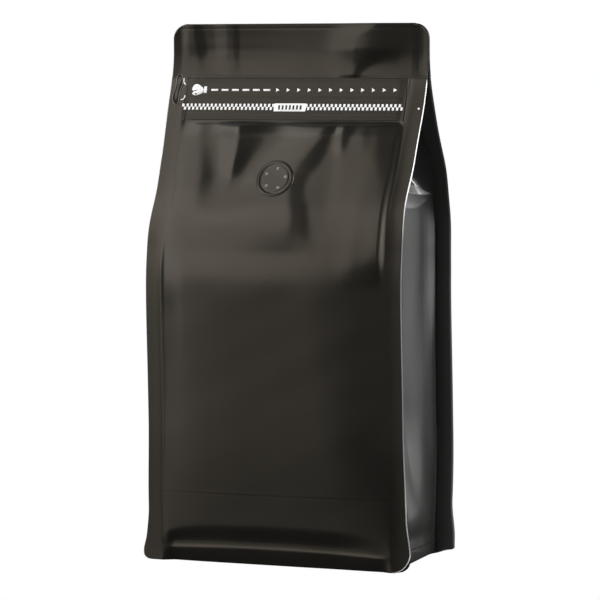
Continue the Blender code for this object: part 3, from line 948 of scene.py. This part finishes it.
def printPoint(x, z, lift=0.0):
    inBand = band["left"] < x < band["right"]
    return frontPoint(x, z, (bandLift(x, z) if inBand else band["clear"]) + guide["printLift"] + lift)


def block(builder, x0, x1, z0, z1, columns=1, rows=1, lift=0.0):
    layGrid(builder, columns, rows, lambda u, v: printPoint(mix(x0, x1, u), mix(z0, z1, v), lift))


def printPiece(name, builder, finish=whitePrintGlowing):
    piece = addPiece(name, faceOutward(builder, front), [finish])
    thicken(piece, guide["print"])
    return piece


def fan(builder, sides, put):
    # a round fan of faces; put takes the angle, and 0 in its middle or 1 at its edge
    made = bmesh.ops.create_circle(builder, cap_ends=True, cap_tris=True, segments=sides, radius=1.0)["verts"]
    for vert in made:
        vert.co = put(math.atan2(vert.co.y, vert.co.x), vert.co.length > 0.5)


def blob(builder, middleX, middleZ, outline, sides, lift=0.0):  # a flat shape laid on the front
    def put(angle, out):
        across, up = outline(angle)
        return printPoint(middleX + across * out, middleZ + up * out, lift)
    fan(builder, sides, put)


checks = bmesh.new()
count = round((guide["checkRight"] - guide["checkLeft"]) / guide["checkPitch"])
for index in range(count):
    for row in (0, 1):
        x = guide["checkLeft"] + guide["checkPitch"] * (index + row / 2)
        if abs(x + guide["checkPitch"] / 4 - guide["labelMiddle"]) < guide["labelLong"] / 2:
            continue
        z = guide["checkRow"] - row * guide["checkTall"]
        block(checks, x, x + guide["checkPitch"] / 2, z, z + guide["checkTall"])
printPiece("checkLine", checks)

arrows = bmesh.new()
for index in range(guide["arrows"]):
    x = guide["firstArrow"] + index * guide["arrowPitch"]
    made = bmesh.ops.create_circle(arrows, cap_ends=True, segments=3, radius=1.0)["verts"]
    for turn, vert in enumerate(made):
        across = (1.0, -0.5, -0.5)[turn] * guide["arrowLong"] / 1.5
        up = (0.0, 0.5, -0.5)[turn] * guide["arrowTall"]
        vert.co = printPoint(x + across, guide["arrowRow"] + up)
printPiece("arrowRow", arrows)

dashes = bmesh.new()
for index in range(guide["dashes"]):
    x = guide["firstArrow"] - (index + 1) * guide["arrowPitch"]
    block(dashes, x - guide["dashLong"] / 2, x + guide["dashLong"] / 2,
          guide["arrowRow"] - guide["dashTall"] / 2, guide["arrowRow"] + guide["dashTall"] / 2, 2, 1)
printPiece("dashRow", dashes)


def pill(angle):
    half, radius = guide["labelLong"] / 2, guide["labelTall"] / 2
    straight = half - radius * 0.6
    across = math.copysign(straight, math.cos(angle)) * min(abs(math.cos(angle)) * 4, 1.0)
    return across + radius * 0.6 * math.cos(angle), radius * min(abs(math.sin(angle)) * 1.6, 1.0) * (
        1 if math.sin(angle) > 0 else -1)


label = bmesh.new()
labelRow = guide["checkRow"] - 0.2
blob(label, guide["labelMiddle"], labelRow, pill, sides=72, lift=0.05)
printPiece("guideLabel", label)
bars = bmesh.new()
for index in range(guide["labelBars"]):
    x = guide["labelMiddle"] + (index - (guide["labelBars"] - 1) / 2) * guide["barPitch"]
    wide, tall = guide["barWide"] / 2, guide["barTall"] / 2
    block(bars, x - wide, x + wide, labelRow - tall, labelRow + tall, lift=0.12)
printPiece("labelBars", bars, darkPrint)


def grip(angle):  # a plain rounded hand
    deep, way, reach = handMark["gap"]
    past = (angle - math.radians(way) + math.pi) % (2 * math.pi) - math.pi
    size = (1 + handMark["knuckles"] * math.cos(3 * angle + 0.5)) * (1 - deep * bump(past, 0, reach))
    return handMark["across"] * size * math.cos(angle), handMark["tall"] * size * math.sin(angle)


hand = bmesh.new()
blob(hand, handMark["middle"], guide["arrowRow"], grip, sides=64)
cuff, cuffLong = handMark["cuff"]
cuff += handMark["middle"]
cuffLow, cuffHigh = handMark["cuffTall"]
block(hand, cuff, cuff + cuffLong, guide["arrowRow"] + cuffLow, guide["arrowRow"] + cuffHigh)
printPiece("handMark", hand)


def thumbGap(angle):
    return 1.1 * math.cos(angle) + 0.5 * math.sin(angle), 0.45 * math.sin(angle) + 0.4 * math.cos(angle)


pinch = bmesh.new()
thumbAcross, thumbUp = handMark["thumb"]
blob(pinch, handMark["middle"] + thumbAcross, guide["arrowRow"] + thumbUp, thumbGap, 20, 0.04)
printPiece("handGap", pinch, darkPrint)
# a small white dot on the right fin, drawn in the glowing white print: a painted glint
dot = bmesh.new()
glintPlace, radius = guide["dot"]
blob(dot, glintPlace, guide["checkRow"] - 0.6, lambda angle: (radius * math.cos(angle), radius * math.sin(angle)), 16)
printPiece("edgeGlint", dot)
print("print")

# the pull tab lies on the left seal
tab = {
    "middle": (tabLow.x + tabHigh.x) / 2 / mm,
    "low": tabLow.z / mm,
    "high": tabHigh.z / mm,
    "upperRadius": 3.0,
    "lowerRadius": 2.8,
    "waist": 0.42,
    "fullness": 0.25,
    "sway": 0.7,
    "tilt": 0.3,
    "film": 0.2,
    "bead": 0.17,
    "lift": 0.25,
    "nickWire": 0.24,
    "nickWide": 1.5,
    "nickTall": 2.6,
    "nickTurn": 100,
}


def tabOutline(angle, shrink=1.0):
    up = math.sin(angle)
    lobe = mix(tab["lowerRadius"], tab["upperRadius"], (up + 1) / 2)
    pinched = tab["waist"] + (1 - tab["waist"]) * abs(up) ** 1.5
    across = lobe * pinched * math.cos(angle) * (1 + tab["fullness"] - tab["fullness"] * abs(up)) * shrink
    sway = tab["sway"] * math.sin(math.pi * up) - tab["tilt"] * up
    return tab["middle"] + sway + across, (tab["low"] + tab["high"]) / 2 + (tab["high"] - tab["low"]) / 2 * up * shrink


builder = bmesh.new()
fan(builder, 72, lambda angle, out: frontPoint(*tabOutline(angle * out, out), tab["lift"]))
tearTab = addPiece("tearTab", faceOutward(builder, front), [tabFilm])
thicken(tearTab, tab["film"])
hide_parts("tear_tab")


def wire(name, points, radius, finish, closed=False):
    curve = bpy.data.curves.new(name, "CURVE")
    curve.dimensions = "3D"
    curve.bevel_depth = radius * mm
    curve.bevel_resolution = 2
    curve.use_fill_caps = True
    spline = curve.splines.new("POLY")
    spline.points.add(len(points) - 1)
    for knot, point in zip(spline.points, points):
        knot.co = (*point, 1)
    spline.use_cyclic_u = closed
    holder = bpy.data.objects.new(name + "Path", curve)
    mesh = bpy.data.meshes.new_from_object(holder)
    bpy.data.objects.remove(holder)
    builder = bmesh.new()
    builder.from_mesh(mesh)
    bpy.data.meshes.remove(mesh)
    bmesh.ops.remove_doubles(builder, verts=builder.verts, dist=1e-6)
    bmesh.ops.recalc_face_normals(builder, faces=builder.faces)
    return addPiece(name, builder, [finish])


around = [2 * math.pi * step / 96 for step in range(96)]
edge = [frontPoint(*tabOutline(angle), tab["lift"]) for angle in around]
# the outline bead is drawn light grey: painted highlight
wire("tabEdge", edge, tab["bead"], tabRimHighlight, True)


def nickPoints(x, z, turn):  # a short arc cut through the film beside the tab
    bend = [math.radians(turn + tab["nickTurn"] * step / 10) for step in range(11)]
    wide, tall = tab["nickWide"], tab["nickTall"]
    return [frontPoint(x + wide * math.cos(angle), z + tall * math.sin(angle), 0.1) for angle in bend]


# the cuts are drawn in the glowing white print: the film's light core at the cut, with painted highlight
for name, x, z, turn in (("upperNick", -59.2, 237.6, 170), ("lowerNick", -60.4, 230.0, 250)):
    wire(name, nickPoints(x, z, turn), tab["nickWire"], whitePrintGlowing)
print("pull tab")

valve = {  # pressed through the film from behind
    "radius": (valveHigh.x - valveLow.x) / 2 / mm,
    "x": (valveHigh.x + valveLow.x) / 2 / mm,
    "z": (valveHigh.z + valveLow.z) / 2 / mm,
    "flat": (valveHigh.z - valveLow.z) / (valveHigh.x - valveLow.x),  # it lies on the leaning panel
    "ring": 8.8,
    "ringRise": 0.55,
    "ringReach": 0.62,
    "disc": 7.6,
    "discEdge": 0.6,
    "discRise": 0.32,
    "dish": 0.22,
    "dishReach": 5.5,
    "clear": 0.08,
    "ventCircle": 5.6,
    "ventRadius": 0.55,
    "ventWire": 0.2,
    "film": 0.3,
    "vents": 5,
    "firstVent": 10,
}


def valveLift(r):
    ringRise = valve["ringRise"] * bump(r, valve["ring"], valve["ringReach"])
    disc = valve["discRise"] * (1 - smoothStep(r, valve["disc"] - valve["discEdge"], valve["disc"]))
    return valve["clear"] + ringRise + disc - valve["dish"] * bump(r, 0, valve["dishReach"])


def valvePoint(r, angle, lift=0.0):
    x = valve["x"] + r * math.cos(angle)
    z = valve["z"] + r * valve["flat"] * math.sin(angle)
    return frontPoint(x, z, valveLift(r) + lift)


builder = laidGrid(96, 36, lambda u, v: valvePoint(mix(valve["radius"], 0.0, v), 2 * math.pi * u))
bmesh.ops.remove_doubles(builder, verts=builder.verts, dist=1e-6)
valveDisc = addPiece("valveDisc", faceOutward(builder, front), [tabFilm])
thicken(valveDisc, valve["film"])
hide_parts("valve")

# each vent's rim is drawn light grey: painted glint
for index in range(valve["vents"]):
    angle = math.radians(valve["firstVent"] + 360 * index / valve["vents"])
    middle = (valve["ventCircle"] * math.cos(angle), valve["ventCircle"] * math.sin(angle))
    rim = []
    for step in range(20):
        turn = 2 * math.pi * step / 20
        x = middle[0] + valve["ventRadius"] * math.cos(turn)
        z = middle[1] + valve["ventRadius"] * math.sin(turn)
        rim.append(valvePoint(math.hypot(x, z), math.atan2(z, x), 0.05))
    wire(f"vent{index + 1}", rim, valve["ventWire"], ventRimGlint, True)
print("valve")

# white floor round the pouch, which neither lights it nor shows in it
floorRadius = 0.6
floorPaint, floorNodes, floorLinks = newMaterial("floorPaint")[:3]
floorGlow = floorNodes.new("ShaderNodeEmission")
floorLinks.new(floorGlow.outputs[0], floorNodes["Material Output"].inputs["Surface"])
builder = bmesh.new()
bmesh.ops.create_circle(builder, cap_ends=True, segments=96, radius=floorRadius)
floor = addObject("floor", finishedMesh("floor", builder, [floorPaint]))
floor.visible_glossy = False
floor.visible_diffuse = False
floor.visible_shadow = False

world = bpy.data.worlds.new("studio")
bpy.context.scene.world = world
world.use_nodes = True
worldNodes, worldLinks = world.node_tree.nodes, world.node_tree.links
worldNodes["Background"].inputs["Color"].default_value = (0.06, 0.06, 0.06, 1)
white = worldNodes.new("ShaderNodeBackground")
path = worldNodes.new("ShaderNodeLightPath")
choose = worldNodes.new("ShaderNodeMixShader")
white.inputs["Color"].default_value = (1, 1, 1, 1)
worldLinks.new(path.outputs["Is Camera Ray"], choose.inputs["Fac"])
worldLinks.new(worldNodes["Background"].outputs[0], choose.inputs[1])
worldLinks.new(white.outputs[0], choose.inputs[2])
worldLinks.new(choose.outputs[0], worldNodes["World Output"].inputs["Surface"])

# Softboxes by the directions they fill, seen from the pouch: degrees round from the front, and up.
lights = {
    "leftBox": dict(around=(-80, -36), up=(-4, 40), glow=2.3),
    "frontBox": dict(around=(-36, -8), up=(1, 40), glow=2.1),
    "topBox": dict(around=(-69, -14), up=(40, 66), glow=1.62),
    "leftTopBox": dict(around=(-98, -69), up=(40, 66), glow=2.5),
    "lowLeftBox": dict(around=(-60, -37), up=(-30, -4), glow=0.85),
    "lowFrontBox": dict(around=(-37, -12), up=(-32, 1), glow=0.52),
    "softFront": dict(around=(0, 30), up=(-10, 22), glow=0.25),
    "sideFill": dict(around=(30, 60), up=(-10, 50), glow=0.35),
    "rightBox": dict(around=(62, 104), up=(-10, 45), glow=1.8),
    "rearBox": dict(around=(104, 160), up=(-9, 2), glow=0.70),
    "rearMidBox": dict(around=(104, 148), up=(2, 9), glow=1.4),
    "ridgeBox": dict(around=(84, 136), up=(8, 32), glow=17.0),
    "backBox": dict(around=(195, 250), up=(0, 55), glow=1.4),
}
target = Vector((0, 0, height * mm * 0.55))
farAway = 1.5  # metres
for name, facts in lights.items():
    (a0, a1), (e0, e1) = facts["around"], facts["up"]
    a, e = math.radians((a0 + a1) / 2), math.radians((e0 + e1) / 2)
    away = Vector((math.sin(a) * math.cos(e), -math.cos(a) * math.cos(e), math.sin(e)))
    lamp = bpy.data.lights.new(name, "AREA")
    lamp.shape = "RECTANGLE"
    lamp.size = 2 * farAway * math.tan(math.radians(a1 - a0) / 2) * math.cos(e)
    lamp.size_y = 2 * farAway * math.tan(math.radians(e1 - e0) / 2)
    lamp.energy = facts["glow"] * math.pi * lamp.size * lamp.size_y
    holder = addObject(name, lamp)
    holder.location = target + away * farAway
    holder.rotation_euler = away.to_track_quat("Z", "Y").to_euler()
    holder.visible_camera = False

view = {"azimuth": 21.53, "pitch": 3.99, "distance": 1.6, "height": 0.240, "lens": 194.1, "shift": -0.0017}
a, e = math.radians(view["azimuth"]), math.radians(view["pitch"])
lens = bpy.data.cameras.new("camera")
lens.lens = view["lens"]
lens.sensor_width = 36
lens.shift_x = view["shift"]
lens.clip_start = 0.05
camera = addObject("camera", lens)
camera.location = (math.sin(a) * view["distance"], -math.cos(a) * view["distance"], view["height"])
camera.rotation_euler = (math.pi / 2 - e, 0, a)
bpy.context.scene.camera = camera
bpy.context.scene.view_settings.view_transform = "Standard"
print("stage")
